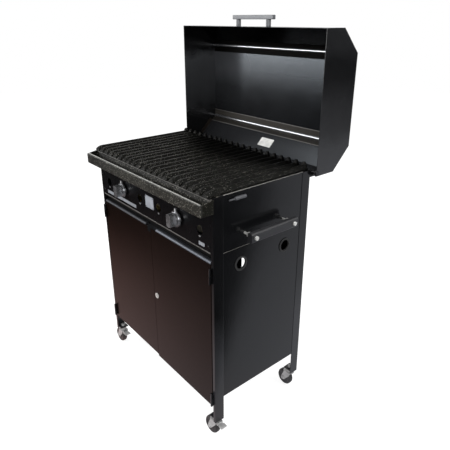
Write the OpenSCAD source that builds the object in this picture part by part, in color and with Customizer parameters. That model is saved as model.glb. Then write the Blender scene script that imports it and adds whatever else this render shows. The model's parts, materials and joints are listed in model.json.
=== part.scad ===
// Charbroiler grill on a cabinet trolley: hinged hood, two doors, two gas taps, four casters.
// Millimetres, Z up, front towards -Y, floor at Z = 0. The pieces are laid out about the middle of
// the posts, then the whole is set with the middle of its outline on the floor at the origin.

/* [Body] */
// Outer width over the posts
body_w = 720; // [640:10:840]
// Outer depth over the posts
body_d = 420; // [400:10:500]
// Height of the side panel tops above the floor
top_h = 920; // [880:10:980]
// Height of the firebox between the cabinet seam and the side panel tops
box_h = 188; // [180:2:210]
// Underside of the cabinet side panels above the floor
skirt_z = 175; // [160:5:230]
// Thickness of panels and doors
sheet = 1.5; // [1.2:0.1:1.8]

/* [Posts] */
// Width of the post face on the side of the cabinet
post_w = 38; // [34:1:42]
// Width of the post lip on the front and the back
post_lip = 12; // [10:1:15]
// Thickness of the folded post
post_t = 2.5; // [2:0.1:3]
// Lower end of the posts above the floor
leg_z = 76; // [74:1:84]
// Distance of the hose holes in the sides from the middle of the depth
grommet_y = 100; // [70:1:120]
// Clear diameter of the hose holes
grommet_d = 37; // [30:1:40]
// Distance of the hose holes below the seam
grommet_drop = 58; // [50:1:90]
// Half width over the two ventilation openings in the back
vent_w = 209; // [150:1:240]
// Width of the web between the ventilation openings
vent_web = 48; // [40:1:60]

/* [Doors] */
// Depth of the left door pan
door_t = 15; // [14:1:18]
// Extra depth of the right door pan, which stands a little proud
door_proud = 1; // [0:1:3]
// How much further down the right door reaches
door_drop = 6; // [0:1:8]
// Distance of the door tops below the control panel
door_top_gap = 30; // [24:1:36]
// Diameter of the lock head
lock_d = 21; // [19:1:24]
// Height of the lock above the lower edge of the left door
lock_up = 283; // [200:1:340]
// Length of a door hinge
hinge_l = 55; // [45:1:65]

/* [Front] */
// How far the grease trough stands out in front of the posts
rail_out = 48; // [44:1:56]
// Outer height of the trough front wall
rail_h = 36; // [32:1:40]
// Skirt diameter of the knobs
knob_d = 54; // [46:1:60]
// Length of the knob grips
grip_l = 26; // [20:1:32]
// Distance of the gas taps from the middle
tap_x = 177; // [170:1:185]
// Distance of the lighting holes and burner tubes to both sides of their tap
port_dx = 116; // [100:1:120]
// Diameter of the lighting holes in the control panel
port_d = 30; // [22:1:34]
// Core diameter of the gas inlet thread
inlet_d = 18.6; // [14:0.1:19]
// Inward stroke of a knob that is pushed
push = 5; // [3:0.5:6]

/* [Grates] */
// Number of bars in each of the three grates
bars = 7; // [6:1:8]
// Width of a grate bar at its foot
bar_w = 25; // [20:1:26]
// Width of the crest of a grate bar
crest_w = 8; // [5:1:10]
// Height of a grate bar
bar_h = 18; // [14:1:20]

/* [Hood] */
// Outer height of the closed hood
lid_h = 167; // [150:1:190]
// Size of the sloped corners of the hood
lid_ch = 79; // [60:1:84]
// How far the hood side plates stand outside the posts
lid_over = 15; // [13:1:20]
// Thickness of the hood sheet
lid_t = 1.5; // [1.2:0.1:2]
// Length of the hood handle bar
bar_l = 212; // [190:2:260]
// Distance of the hood handle posts from the middle
post_gap = 79; // [60:1:84]

/* [Side handles] */
// Length of a side handle
side_l = 205; // [170:5:230]
// Distance of the side handle from the side panel
side_gap = 33; // [28:1:40]

/* [Casters] */
// Wheel diameter
wheel_d = 65; // [60:1:66]
// Tyre width
wheel_w = 22; // [18:1:25]
// Distance from the swivel axis back to the axle
trail = 20; // [16:1:24]

/* [Part] */
// Which piece is drawn

/* [Hidden] */
$fn = 64;
hw = body_w / 2;
hd = body_d / 2;
run = 0.05;
seam_z = top_h - box_h;
panel_out = hw - 1.2;
panel_in = panel_out - sheet;
// control panel and what sits on its level
panel_y = -hd;
panel_x = hw - post_lip - 0.5;
panel_z0 = seam_z + 2;
fold_r = 3.5;
ctl_z = seam_z + 68;
wall_y = -hd + 48;
rail_z0 = top_h - 47;
// doors
door_back = -hd + door_t;
door_x0 = 1.5;
door_gap = 2.7;
door_x1 = hw - post_lip - door_gap;
door_z1 = panel_z0 - door_top_gap;
door_z0 = skirt_z - 24;
door_dip = 2;
hinge_d = 8;
leaf_t = 1.5;
hinge_x = hw - post_lip - door_gap / 2;
hinge_y = -hd - door_proud - hinge_d / 2 - 0.6;
lock_x = 20;
lock_z = door_z0 + lock_up;
// firebox levels
ledge_z = top_h - 15;
radiant_z = top_h - 70;
tube_d = 30;
tube_z = ctl_z;
mixer_hole = 42;
ledge_w = 32;
ledge_hem = 25;
roof_over = 19;
carry_in = 42;
carry_back = 85;
pipe_d = 22;
pipe_z = ctl_z - 30;
pipe_y = -hd + 34;
// hood, drawn open: the opening stands upright behind the grates
axis_y = hd + 16;
axis_z = top_h - 12;
lid_reach = body_d + 40;
lid_zb = axis_z - 11;
lid_zt = axis_z + lid_reach;
lid_wall = lid_h - lid_ch;
lid_x = hw + lid_over;
pin_d = 10;
// casters
caster_in = 20;
foot_z = leg_z + 10;
foot_t = 4;
stem_d = 10;
axle_d = 8;
axle_z = wheel_d / 2;
crown_z = leg_z - 6.5;

// middle of the outline from the trough front to the back of the open hood
mid_y = (axis_y + lid_h - hd - rail_out) / 2;

// helpers
module place() translate([0, -mid_y, 0]) children();
module box(a, b) translate(a) cube(b - a);
module rod_x(x0, x1, y, z, d) translate([x0, y, z]) rotate([0, 90, 0]) cylinder(d = d, h = x1 - x0);
module rod_y(y0, y1, x, z, d) translate([x, y1, z]) rotate([90, 0, 0]) cylinder(d = d, h = y1 - y0);
module rod_z(z0, z1, x, y, d) translate([x, y, z0]) cylinder(d = d, h = z1 - z0);
module along_x(x0, x1) translate([x0, 0, 0]) rotate([90, 0, 90]) linear_extrude(x1 - x0) children();
module along_y(y0, y1) translate([0, y1, 0]) rotate([90, 0, 0]) linear_extrude(y1 - y0) children();
module side(s) mirror([s < 0 ? 1 : 0, 0, 0]) children();
module corner(sx, sy) mirror([sx < 0 ? 1 : 0, 0, 0]) mirror([0, sy > 0 ? 1 : 0, 0]) children();

// posts: folded angles that run from the casters to the grill top
module post(sx, sy) color([0.12, 0.12, 0.13]) corner(sx, sy) {
  box([hw - post_t, -hd, leg_z], [hw, -hd + post_w, top_h]);
  box([hw - post_lip, -hd, leg_z], [hw, -hd + post_t, top_h]);
}
// foot plates in the corners of the posts, which hold the caster stems
module feet() color([0.12, 0.12, 0.13]) for (sx = [-1, 1], sy = [-1, 1]) corner(sx, sy) difference() {
  box([hw - post_t - 34, -hd + post_t, foot_z], [hw - post_t, -hd + post_t + 34, foot_z + foot_t]);
  rod_z(foot_z - 1, foot_z + foot_t + 1, hw - caster_in, -hd + caster_in, stem_d + 2 * run);
}

// side panels between the posts, one above and one below the seam
module side_upper(s) color([0.15, 0.15, 0.16]) side(s)
  box([panel_in, -hd + post_w, seam_z], [panel_out, hd - post_w, top_h]);
grommet_z = seam_z - grommet_drop;
module side_lower(s) color([0.15, 0.15, 0.16]) side(s) difference() {
  box([panel_in, -hd + post_w, skirt_z], [panel_out, hd - post_w, seam_z - 1]);
  for (y = [-grommet_y, grommet_y]) rod_x(panel_in - 1, panel_out + 1, y, grommet_z, grommet_d + 7);
}
module grommets() color([0.05, 0.05, 0.05]) for (s = [-1, 1], y = [-grommet_y, grommet_y])
  side(s) difference() {
    union() {
      rod_x(panel_out, panel_out + 3, y, grommet_z, grommet_d + 15);
      rod_x(panel_in - 1.5, panel_out + 1, y, grommet_z, grommet_d + 6.8);
    }
    rod_x(panel_in - 3, panel_out + 5, y, grommet_z, grommet_d);
  }

// back panels between the rear posts; the lower one has two ventilation openings
module rear_upper() color([0.15, 0.15, 0.16])
  box([-hw + post_lip, hd - 3, seam_z], [hw - post_lip, hd - 3 + sheet, top_h]);
vent_z0 = skirt_z + 105;
vent_z1 = seam_z - 192;
module rear_lower() color([0.15, 0.15, 0.16]) difference() {
  box([-hw + post_lip, hd - 3, skirt_z], [hw - post_lip, hd - 3 + sheet, seam_z - 1]);
  for (s = [-1, 1]) side(s) box([vent_web / 2, hd - 4, vent_z0], [vent_w, hd, vent_z1]);
}
module shelf() color([0.16, 0.15, 0.15]) {
  box([-panel_in, -hd + post_w, skirt_z + 1], [panel_in, hd - post_w, skirt_z + 3]);
  box([-hw + post_lip + 25, door_back + 3, skirt_z + 1], [hw - post_lip - 25, hd - 3, skirt_z + 3]);
}

// control panel between the post lips: rounded lower fold with a return, end tabs behind the post lips,
// stem holes and lighting holes
strip_y = door_back + 1.5;
module control_panel() color([0.07, 0.07, 0.08]) difference() {
  union() {
    box([-panel_x, panel_y, panel_z0 + fold_r], [panel_x, panel_y + sheet, rail_z0 - 0.5]);
    along_x(-panel_x, panel_x) translate([panel_y + fold_r, panel_z0 + fold_r]) difference() {
      intersection() {
        circle(r = fold_r);
        translate([-fold_r, -fold_r]) square(fold_r);
      }
      circle(r = fold_r - sheet);
    }
    box([-hw + post_t + 0.5, panel_y + fold_r, panel_z0], [hw - post_t - 0.5, strip_y + sheet, panel_z0 + sheet]);
    for (s = [-1, 1]) side(s) {
      box([panel_x - sheet, panel_y, panel_z0 + fold_r], [panel_x, -hd + post_t + sheet, rail_z0 - 0.5]);
      box([panel_x - sheet, -hd + post_t, panel_z0 + fold_r], [hw - 4, -hd + post_t + sheet, rail_z0 - 0.5]);
    }
  }
  for (s = [-1, 1]) {
    rod_y(panel_y - 2, panel_y + 4, s * tap_x, ctl_z, 14);
    for (d = [-1, 1]) rod_y(panel_y - 2, panel_y + 4, s * (tap_x + d * port_dx), ctl_z, port_d);
  }
}

// grease trough along the front, with a folded hem and closed ends
hem = 6.5;
rail_y = -hd - rail_out;
rail_top = rail_z0 + rail_h;
rail_x = hw + 4;
module trough() color([0.27, 0.26, 0.24]) {
  along_x(-rail_x, rail_x) polygon([[-hd, rail_z0], [rail_y, rail_z0], [rail_y, rail_top - 2],
    [rail_y + 1.2, rail_top], [rail_y + hem - 1.5, rail_top], [rail_y + hem, rail_top - 1.5],
    [rail_y + hem, rail_top - 4], [rail_y + 3, rail_top - 6], [rail_y + 3, rail_z0 + 9], [rail_y + 7, rail_z0 + 5],
    [-hd - 22, rail_z0 + 5], [-hd - 4, rail_z0 + 44], [-hd, rail_z0 + 44]]);
  for (s = [-1, 1]) side(s) along_x(rail_x - 3, rail_x) polygon([[-hd, rail_z0], [rail_y, rail_z0],
    [rail_y, rail_top - 8], [rail_y + 2.4, rail_top - 2.4], [rail_y + 8, rail_top + 1], [-hd, rail_z0 + 44]]);
}

// firebox front wall with a top flange that carries the grates
module firebox_front() color([0.2, 0.2, 0.2]) difference() {
  union() {
    box([-panel_in, wall_y, seam_z + 22], [panel_in, wall_y + sheet, ledge_z]);
    box([-hw + post_t + 1, -hd + post_t + 1.5, ledge_z - 1.5], [hw - post_t - 1, wall_y + 1, ledge_z]);
  }
  for (s = [-1, 1]) {
    rod_y(wall_y - 2, wall_y + 4, s * tap_x, ctl_z, mixer_hole);
    for (d = [-1, 1]) rod_y(wall_y - 2, wall_y + 4, s * (tap_x + d * port_dx), ctl_z, port_d);
  }
}
module ledge_rear() color([0.2, 0.2, 0.2]) {
  box([-hw + post_lip, hd - ledge_w, ledge_z - 1.5], [hw - post_lip, hd - 3, ledge_z]);
  box([-hw + post_lip, hd - 4.5, ledge_z - ledge_hem], [hw - post_lip, hd - 3, ledge_z]);
}

// grates: cast ridges with a rounded crest, noses that drop towards the trough, three cross ties
grate_x = panel_in - 3;
grate_w = 2 * grate_x / 3 - 2;
bar_z = ledge_z + 15;
nose_y = -hd - 16;
module bar_profile() polygon([[-bar_w / 2, 0], [-bar_w / 2, bar_h * 0.3], [-crest_w / 2 - 1, bar_h * 0.9],
  [-crest_w / 2 + 1, bar_h], [crest_w / 2 - 1, bar_h], [crest_w / 2 + 1, bar_h * 0.9], [bar_w / 2, bar_h * 0.3],
  [bar_w / 2, 0]]);
module grate(i) color([0.08, 0.08, 0.08]) {
  c = (i - 1) * 2 * grate_x / 3;
  pitch = (grate_w - bar_w) / (bars - 1);
  intersection() {
    union() for (k = [0 : bars - 1])
      translate([c - grate_w / 2 + bar_w / 2 + k * pitch, 0, bar_z]) along_y(nose_y, hd - 5) bar_profile();
    along_x(c - grate_w, c + grate_w) polygon([[hd - 5, bar_z], [hd - 5, bar_z + bar_h * 0.7],
      [hd - 10, bar_z + bar_h], [-hd + 10, bar_z + bar_h], [-hd + 1, bar_z + bar_h * 0.95],
      [-hd - 6, bar_z + bar_h * 0.8], [-hd - 11, bar_z + bar_h * 0.58], [-hd - 14.5, bar_z + bar_h * 0.3],
      [nose_y, bar_z], [nose_y, bar_z - 1]]);
  }
  for (y = [-hd + 14, 0, hd - 22])
    box([c - grate_w / 2 + 1, y - 5, ledge_z], [c + grate_w / 2 - 1, y + 5, bar_z + 4]);
}

// radiants: roof shaped deflectors over the burner tubes
roof_w = tube_d / 2 + roof_over;
roof_i = roof_w - sheet * 1.4;
module radiants() color([0.25, 0.23, 0.21]) for (s = [-1, 1], d = [-1, 1])
  translate([s * (tap_x + d * port_dx), 0, radiant_z]) along_y(wall_y + 4, hd - 14)
    polygon([[-roof_w, 0], [0, roof_w], [roof_w, 0], [roof_i, 0], [0, roof_i], [-roof_i, 0]]);

// rails for the radiants, the burners and the drip tray, and the closing strip between the front posts on
// which the return of the control panel sits, behind the door tops
tray_z = seam_z + 13;
rail_w = 20;
carry_f = wall_y + carry_in;
carry_r = hd - carry_back;
module firebox_rails() color([0.2, 0.2, 0.2]) {
  box([-hw + post_t, strip_y, door_z1 + 1], [hw - post_t, strip_y + sheet, panel_z0]);
  box([-hw + post_lip, wall_y + sheet, radiant_z - 1.5], [hw - post_lip, wall_y + 16, radiant_z]);
  box([-hw + post_lip, hd - 3 - rail_w, radiant_z - 1.5], [hw - post_lip, hd - 3, radiant_z]);
  for (y = [carry_f, carry_r]) {
    box([-panel_in, y, tube_z - tube_d / 2 - 1.5], [panel_in, y + rail_w, tube_z - tube_d / 2]);
    box([-panel_in, y, tube_z - tube_d / 2 - 8], [panel_in, y + 1.5, tube_z - tube_d / 2]);
  }
  for (s = [-1, 1]) side(s) box([panel_in - 19, wall_y + 14, tray_z + 24], [panel_in, hd - 20, tray_z + 25.5]);
}

// burners: two tubes joined by a cross tube with the mixer inlet
module burner(s) color([0.3, 0.3, 0.3]) side(s) difference() {
  union() {
    rod_x(tap_x - port_dx, tap_x + port_dx, wall_y + 34, tube_z, tube_d);
    for (d = [-1, 1]) rod_y(wall_y + 19, hd - 50, tap_x + d * port_dx, tube_z, tube_d);
    rod_y(wall_y + 4, wall_y + 34, tap_x, tube_z, 34);
  }
  rod_y(wall_y + 3, wall_y + 34, tap_x, tube_z, 28);
  for (d = [-1, 1], k = [0 : 7])
    rod_z(tube_z, tube_z + 20, tap_x + d * port_dx, wall_y + 60 + k * 30, 4);
}

// gas pipe with pads for the taps and lugs on the panel; it drops into the cabinet and turns so that
// the inlet union looks out through the front hose hole on the left
inlet_dx = 93;
inlet_x = tap_x + inlet_dx;
pipe_end = tap_x + 40;
union_l = 16;
module manifold() color([0.55, 0.52, 0.42]) {
  rod_x(-inlet_x, pipe_end, pipe_y, pipe_z, pipe_d);
  for (s = [-1, 1]) {
    box([s * tap_x - 12, pipe_y - 12, pipe_z], [s * tap_x + 12, pipe_y + 12, pipe_z + 14]);
    box([s * 100 - 8, panel_y + sheet, pipe_z - 5], [s * 100 + 8, pipe_y, pipe_z + 5]);
  }
  translate([-inlet_x, pipe_y, pipe_z]) sphere(d = pipe_d);
  rod_z(grommet_z, pipe_z, -inlet_x, pipe_y, pipe_d);
  translate([-inlet_x, pipe_y, grommet_z]) sphere(d = pipe_d);
  rod_y(pipe_y, -grommet_y, -inlet_x, grommet_z, pipe_d);
  translate([-inlet_x, -grommet_y, grommet_z]) sphere(d = pipe_d);
  rod_x(-inlet_x - 14, -inlet_x, -grommet_y, grommet_z, pipe_d);
  difference() {
    translate([-inlet_x - 12 - union_l, -grommet_y, grommet_z]) rotate([0, 90, 0]) cylinder(d = 32, h = union_l, $fn = 6);
    rod_x(-inlet_x - 13 - union_l, -inlet_x - 17, -grommet_y, grommet_z, inlet_d);
  }
}
tap_front = -hd + 7;
module tap_bodies() color([0.6, 0.5, 0.3]) for (s = [-1, 1]) side(s) difference() {
  union() {
    box([tap_x - 16, tap_front, pipe_z + 14], [tap_x + 16, tap_front + 38, pipe_z + 46]);
    rod_y(tap_front + 37, tap_front + 54, tap_x, ctl_z, 9);
  }
  rod_y(tap_front - 1, tap_front + 31, tap_x, ctl_z, 14 + 2 * run);
}

// drip tray on its rails under the burners
module drip_tray() color([0.4, 0.4, 0.4]) difference() {
  union() {
    box([-panel_in + 20, wall_y + 14, tray_z], [panel_in - 20, hd - 20, tray_z + 27]);
    box([-panel_in + 10, wall_y + 14, tray_z + 25.5], [panel_in - 10, hd - 20, tray_z + 27]);
  }
  box([-panel_in + 21.2, wall_y + 15.2, tray_z + 1.2], [panel_in - 21.2, hd - 21.2, tray_z + 30]);
}

// side handles: bar on two standoffs
handle_z = seam_z + 45;
handle_x = panel_out + side_gap;
bolt_y = side_l / 2 - 17.5;
module side_handle(s) color([0.06, 0.06, 0.06]) side(s) difference() {
  along_y(-side_l / 2, side_l / 2) polygon([[handle_x, handle_z - 13], [handle_x + 3, handle_z - 16],
    [handle_x + 16, handle_z - 16], [handle_x + 20, handle_z - 12], [handle_x + 20, handle_z + 12],
    [handle_x + 16, handle_z + 16], [handle_x + 3, handle_z + 16], [handle_x, handle_z + 13]]);
  for (y = [-bolt_y, bolt_y]) rod_x(handle_x - 1, handle_x + 21, y, handle_z, 8.2);
}
module handle_bolts() color([0.7, 0.7, 0.7]) for (s = [-1, 1], y = [-bolt_y, bolt_y]) side(s) {
  rod_x(panel_out, handle_x + 21, y, handle_z, 8);
  rod_x(handle_x - 15, handle_x, y, handle_z, 16);
  translate([handle_x + 20, y, handle_z]) rotate([0, 90, 0]) cylinder(d = 15, h = 5.5, $fn = 6);
}

// short grey peg with a grip that lies along the right side near the top
peg_y = -hd + 56;
peg_z = top_h - 18;
module side_peg() color([0.45, 0.46, 0.48]) {
  rod_y(peg_y, peg_y + 24, panel_out + 6.5, peg_z, 5);
  rod_y(peg_y + 22, peg_y + 65, panel_out + 6.5, peg_z, 11);
  box([panel_out, peg_y + 30, peg_z - 4], [panel_out + 5, peg_y + 57, peg_z + 4]);
}

// lift off hinges in the gap beside the doors: leaves with pins on the post lips, knuckles on the doors
function right_lo() = door_z0 - door_drop;
function right_hi() = door_z1 - door_dip;
function hinge_zs(s) = s > 0 ? [right_lo() + 5, right_hi() - 68] : [door_z0 + 5, door_z1 - 68];
module hinge_leaves() color([0.1, 0.09, 0.09]) for (s = [-1, 1], z = hinge_zs(s)) side(s) {
  rod_z(z, z + hinge_l / 2, hinge_x, hinge_y, hinge_d);
  rod_z(z + 1, z + hinge_l - 5, hinge_x, hinge_y, hinge_d / 2);
  box([hw - post_lip - leaf_t, hinge_y, z], [hw - post_lip, -hd + post_t + leaf_t, z + hinge_l / 2]);
  box([hw - post_lip - leaf_t, -hd + post_t, z], [hw - 4, -hd + post_t + leaf_t, z + hinge_l / 2]);
}
module knuckles(s) color([0.1, 0.09, 0.09]) for (z = hinge_zs(s)) side(s) difference() {
  union() {
    rod_z(z + hinge_l / 2 + 0.5, z + hinge_l, hinge_x, hinge_y, hinge_d);
    box([door_x1, hinge_y, z + hinge_l / 2 + 0.5], [door_x1 + leaf_t, -hd + 10, z + hinge_l]);
  }
  rod_z(z, z + hinge_l - 4, hinge_x, hinge_y, hinge_d / 2 + 2 * run);
}

// doors: folded pans with a broad top flange
module pan(depth, z0, z1, notch) {
  y0 = door_back - depth;
  box([door_x0, y0, z0], [door_x1, y0 + sheet, z1]);
  box([door_x0, y0, z0], [door_x0 + sheet, door_back, z1 - notch]);
  box([door_x1 - sheet, y0, z0], [door_x1, door_back, z1]);
  box([door_x0, y0, z0], [door_x1, door_back, z0 + sheet]);
  box([door_x0 + 32, y0, z1 - sheet], [door_x1, door_back, z1]);
}
module door_l() color([0.17, 0.13, 0.12]) side(-1) difference() {
  pan(door_t, door_z0, door_z1, 20);
  box([door_x0 - 1, door_back - door_t - 1, door_z1 - 18], [door_x0 + 21, door_back + 1, door_z1 + 1]);
}
module door_r() color([0.17, 0.13, 0.12]) difference() {
  pan(door_t + door_proud, right_lo(), right_hi(), 20);
  rod_y(door_back - 30, door_back + 1, lock_x, lock_z, 16.3);
}

// cam lock on the right door, drawn unlocked with the cam hanging down
lock_y = -hd - door_proud;
module lock_body() color([0.75, 0.75, 0.75]) difference() {
  union() {
    rod_y(lock_y - 2.5, lock_y, lock_x, lock_z, lock_d);
    rod_y(lock_y - 1, door_back - 2.5, lock_x, lock_z, 16);
    translate([lock_x, lock_y + sheet + 5, lock_z]) rotate([90, 0, 0]) cylinder(d = 22, h = 5, $fn = 6);
  }
  rod_y(lock_y - 4, door_back, lock_x, lock_z, 11 + 2 * run);
}
module lock_cam() color([0.6, 0.6, 0.6]) {
  difference() {
    rod_y(lock_y - 2, door_back - 1, lock_x, lock_z, 11);
    box([lock_x - 0.8, lock_y - 3, lock_z - 4], [lock_x + 0.8, lock_y - 0.5, lock_z + 4]);
  }
  box([lock_x - 8, door_back + 0.6, lock_z - 38], [lock_x + 8, door_back + 2.6, lock_z + 8]);
  rod_y(door_back - 2, door_back + 3.6, lock_x, lock_z, 9);
}

// gas taps: turning plugs with a flatted bore, and knobs that slide in them
module dee(d, flat) intersection() {
  circle(d = d);
  translate([-d, -d]) square([d + flat, 2 * d]);
}
module plug(s) color([0.65, 0.55, 0.3]) translate([s * tap_x, 0, ctl_z]) difference() {
  union() {
    rod_y(tap_front - 0.5, tap_front + 30, 0, 0, 14);
    rod_y(tap_front - 4, tap_front - 0.5, 0, 0, 19);
  }
  along_y(tap_front - 5, tap_front + 27.5) dee(8 + 2 * run, 2.6 + run);
}
knob_back = panel_y - push - 1;
module knob(s) color([0.5, 0.5, 0.52]) translate([s * tap_x, 0, ctl_z]) {
  along_y(knob_back - 3, tap_front + 20) dee(8, 2.6);
  rod_y(knob_back - 5, knob_back, 0, 0, knob_d);
  box([-4.5, knob_back - 4.5, knob_d / 2 - 4], [4.5, knob_back - 0.5, knob_d / 2 + 10]);
  difference() {
    rod_y(knob_back - 5 - grip_l, knob_back - 4, 0, 0, knob_d * 0.83);
    for (d = [-1, 1]) side(d)
      box([knob_d * 0.22, knob_back - 6 - grip_l, -knob_d], [knob_d, knob_back - 13, knob_d]);
  }
}

// hood: folded wrap, side plates, inner rails, handle
module lid_wrap() color([0.08, 0.08, 0.09]) {
  k = 0.41421 * lid_t;
  y1 = axis_y + lid_h;
  yw = axis_y + lid_wall;
  along_x(-lid_x + lid_t, lid_x - lid_t) polygon([[axis_y, lid_zb], [yw, lid_zb], [y1, lid_zb + lid_ch],
    [y1, lid_zt - lid_ch], [yw, lid_zt], [axis_y, lid_zt], [axis_y, lid_zt - lid_t], [yw - k, lid_zt - lid_t],
    [y1 - lid_t, lid_zt - lid_ch - k], [y1 - lid_t, lid_zb + lid_ch + k], [yw - k, lid_zb + lid_t],
    [axis_y, lid_zb + lid_t]]);
  box([-hw + 30, axis_y, lid_zb], [hw - 30, axis_y + 1.5, lid_zb + 9]);
}
module lid_sides() color([0.1, 0.1, 0.11]) for (s = [-1, 1]) side(s) difference() {
  union() {
    along_x(lid_x - lid_t, lid_x) polygon([[axis_y, lid_zb], [axis_y + lid_wall, lid_zb],
      [axis_y + lid_h, lid_zb + lid_ch], [axis_y + lid_h, lid_zt - lid_ch], [axis_y + lid_wall, lid_zt],
      [axis_y, lid_zt]]);
    rod_x(lid_x - lid_t, lid_x, axis_y, axis_z, 22);
  }
  rod_x(lid_x - lid_t - 1, lid_x + 1, axis_y, axis_z, pin_d + 0.2);
}
// joint strips over the inner bends, each with a bare half round bar along the bend
strip_t = 1.5;
strip_up = 28;
strip_dn = 20;
rib_d = 13;
module at_bends() for (u = [0, 1]) translate([0, 0, u * (lid_zb + lid_zt)]) mirror([0, 0, u]) children();
function bend(t) = [axis_y + lid_h - t, lid_zb + lid_ch + 0.41421 * t];
module lid_strips() color([0.1, 0.09, 0.09]) at_bends() along_x(-lid_x + lid_t, lid_x - lid_t) {
  a = bend(lid_t);
  b = bend(lid_t + strip_t);
  polygon([[a[0], a[1] + strip_up], a, [a[0] - strip_dn, a[1] - strip_dn],
    [a[0] - strip_dn - strip_t * 0.7071, a[1] - strip_dn + strip_t * 0.7071], b, [b[0], a[1] + strip_up]]);
}
module lid_rails() color([0.6, 0.6, 0.6]) at_bends() along_x(-lid_x + lid_t, lid_x - lid_t) difference() {
  b = bend(lid_t + strip_t);
  translate([b[0] - 1.5, b[1] + 0.6]) circle(d = rib_d);
  polygon([[b[0], b[1] + 40], b, [b[0] - 40, b[1] - 40], [b[0] + 40, b[1] - 80], [b[0] + 40, b[1] + 40]]);
}
lid_hy = axis_y + lid_wall / 2;
module lid_posts() color([0.75, 0.75, 0.76]) for (s = [-1, 1]) {
  rod_z(lid_zt, lid_zt + 24, s * post_gap, lid_hy, 18);
}
module lid_handle() color([0.8, 0.8, 0.8])
  box([-bar_l / 2, lid_hy - 7.5, lid_zt + 24], [bar_l / 2, lid_hy + 7.5, lid_zt + 39]);
module lid_pins() color([0.6, 0.6, 0.6]) for (s = [-1, 1]) side(s) {
  rod_x(hw - 16, lid_x + 1, axis_y, axis_z, pin_d);
  rod_x(lid_x, lid_x + 4, axis_y, axis_z, 18);
}
module lid_brackets() color([0.12, 0.12, 0.13]) for (s = [-1, 1]) side(s) {
  difference() {
    union() {
      box([hw - 12, hd, axis_z - 17], [hw - 7, hd + 10, axis_z + 10]);
      rod_x(hw - 12, hw - 7, axis_y, axis_z, 15);
      box([hw - 12, hd, axis_z - 5], [hw - 7, axis_y, axis_z + 5]);
    }
    rod_x(hw - 13, hw - 6, axis_y, axis_z, pin_d + 2 * run);
  }
  box([hw - 28, hd, lid_zb - 6], [hw - 7, hd + 38, lid_zb - 0.4]);
}

// casters: fork with stem, nut and axle; wheel; pedals on the front pair
module at_caster(sx, sy) translate([sx * (hw - caster_in), sy * (hd - caster_in), 0]) children();
arm_y = wheel_w / 2 + 1.5;
module fork(sx, sy) color([0.7, 0.7, 0.7]) at_caster(sx, sy) {
  rod_z(crown_z + 1, foot_z - 0.5, 0, 0, 24);
  rod_z(crown_z, foot_z + foot_t + 8, 0, 0, stem_d);
  translate([0, 0, foot_z + foot_t + 0.5]) cylinder(d = 17, h = 7, $fn = 6);
  intersection() {
    box([-trail - 4, -arm_y - 2.5, crown_z - 2], [15, arm_y + 2.5, crown_z + 1]);
    rod_z(crown_z - 2, crown_z + 1, -2, 0, 44);
  }
  for (s = [-1, 1]) mirror([0, s < 0 ? 1 : 0, 0]) {
    translate([0, arm_y + 2.5, 0]) rotate([90, 0, 0]) linear_extrude(2.5)
      polygon([[-15, crown_z + 1], [-trail - 9.4, axle_z + 2.6], [-trail + 7.1, axle_z - 6.6], [11, crown_z - 12],
        [13, crown_z + 1]]);
    rod_y(arm_y, arm_y + 2.5, -trail, axle_z, 19.5);
  }
  rod_y(-arm_y - 6, arm_y + 6, -trail, axle_z, axle_d);
  for (s = [-1, 1]) translate([-trail, s * (arm_y + 4.5), axle_z]) rotate([90, 0, 0])
    cylinder(d = 14, h = 4, center = true, $fn = 6);
  if (sy < 0) {
    for (s = [-1, 1]) mirror([0, s < 0 ? 1 : 0, 0])
      box([12, 8.5, crown_z - 10], [22, 11, crown_z + 1]);
    rod_y(-11, 11, 18, crown_z - 6, 4);
  }
}
module wheel(sx, sy) color([0.06, 0.06, 0.06]) at_caster(sx, sy) translate([-trail, 0, axle_z])
  rotate([90, 0, 0]) rotate_extrude() polygon([[axle_d / 2 + run, -wheel_w / 2], [12, -wheel_w / 2],
    [14, -wheel_w / 2 + 3], [wheel_d / 2 - 11, -wheel_w / 2 + 3], [wheel_d / 2 - 9, -wheel_w / 2 + 0.5],
    [wheel_d / 2 - 3, -wheel_w / 2 + 0.5], [wheel_d / 2, -wheel_w / 2 + 5], [wheel_d / 2, wheel_w / 2 - 5],
    [wheel_d / 2 - 3, wheel_w / 2 - 0.5], [wheel_d / 2 - 9, wheel_w / 2 - 0.5],
    [wheel_d / 2 - 11, wheel_w / 2 - 3], [14, wheel_w / 2 - 3], [12, wheel_w / 2],
    [axle_d / 2 + run, wheel_w / 2]]);
module pedal(sx) color([0.1, 0.1, 0.1]) at_caster(sx, -1) difference() {
  union() {
    rod_y(-8, 8, 18, crown_z - 6, 8);
    box([18, -8, crown_z - 8], [30, 8, crown_z - 4]);
    box([27, -12, crown_z - 8], [44, 12, crown_z - 4]);
  }
  rod_y(-9, 9, 18, crown_z - 6, 4 + 2 * run);
}

// drawing
place() post(-1, -1);  // post_fl
place() post(1, -1);  // post_fr
place() post(-1, 1);  // post_rl
place() post(1, 1);  // post_rr
place() feet();
place() side_upper(-1);  // side_upper_l
place() side_upper(1);  // side_upper_r
place() side_lower(-1);  // side_lower_l
place() side_lower(1);  // side_lower_r
place() grommets();
place() rear_upper();
place() rear_lower();
place() shelf();
place() control_panel();
place() trough();
place() firebox_front();
place() ledge_rear();
place() grate(0);  // grate_l
place() grate(1);  // grate_c
place() grate(2);  // grate_r
place() radiants();
place() firebox_rails();
place() burner(-1);  // burner_l
place() burner(1);  // burner_r
place() manifold();
place() tap_bodies();
place() drip_tray();
place() side_handle(-1);  // side_handle_l
place() side_handle(1);  // side_handle_r
place() handle_bolts();
place() side_peg();
place() hinge_leaves();
place() lid_brackets();
place() lid_wrap();
place() lid_sides();
place() lid_strips();
place() lid_rails();
place() lid_handle();
place() lid_posts();
place() lid_pins();
place() door_l();
place() door_r();
place() knuckles(-1);  // knuckles_l
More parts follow.
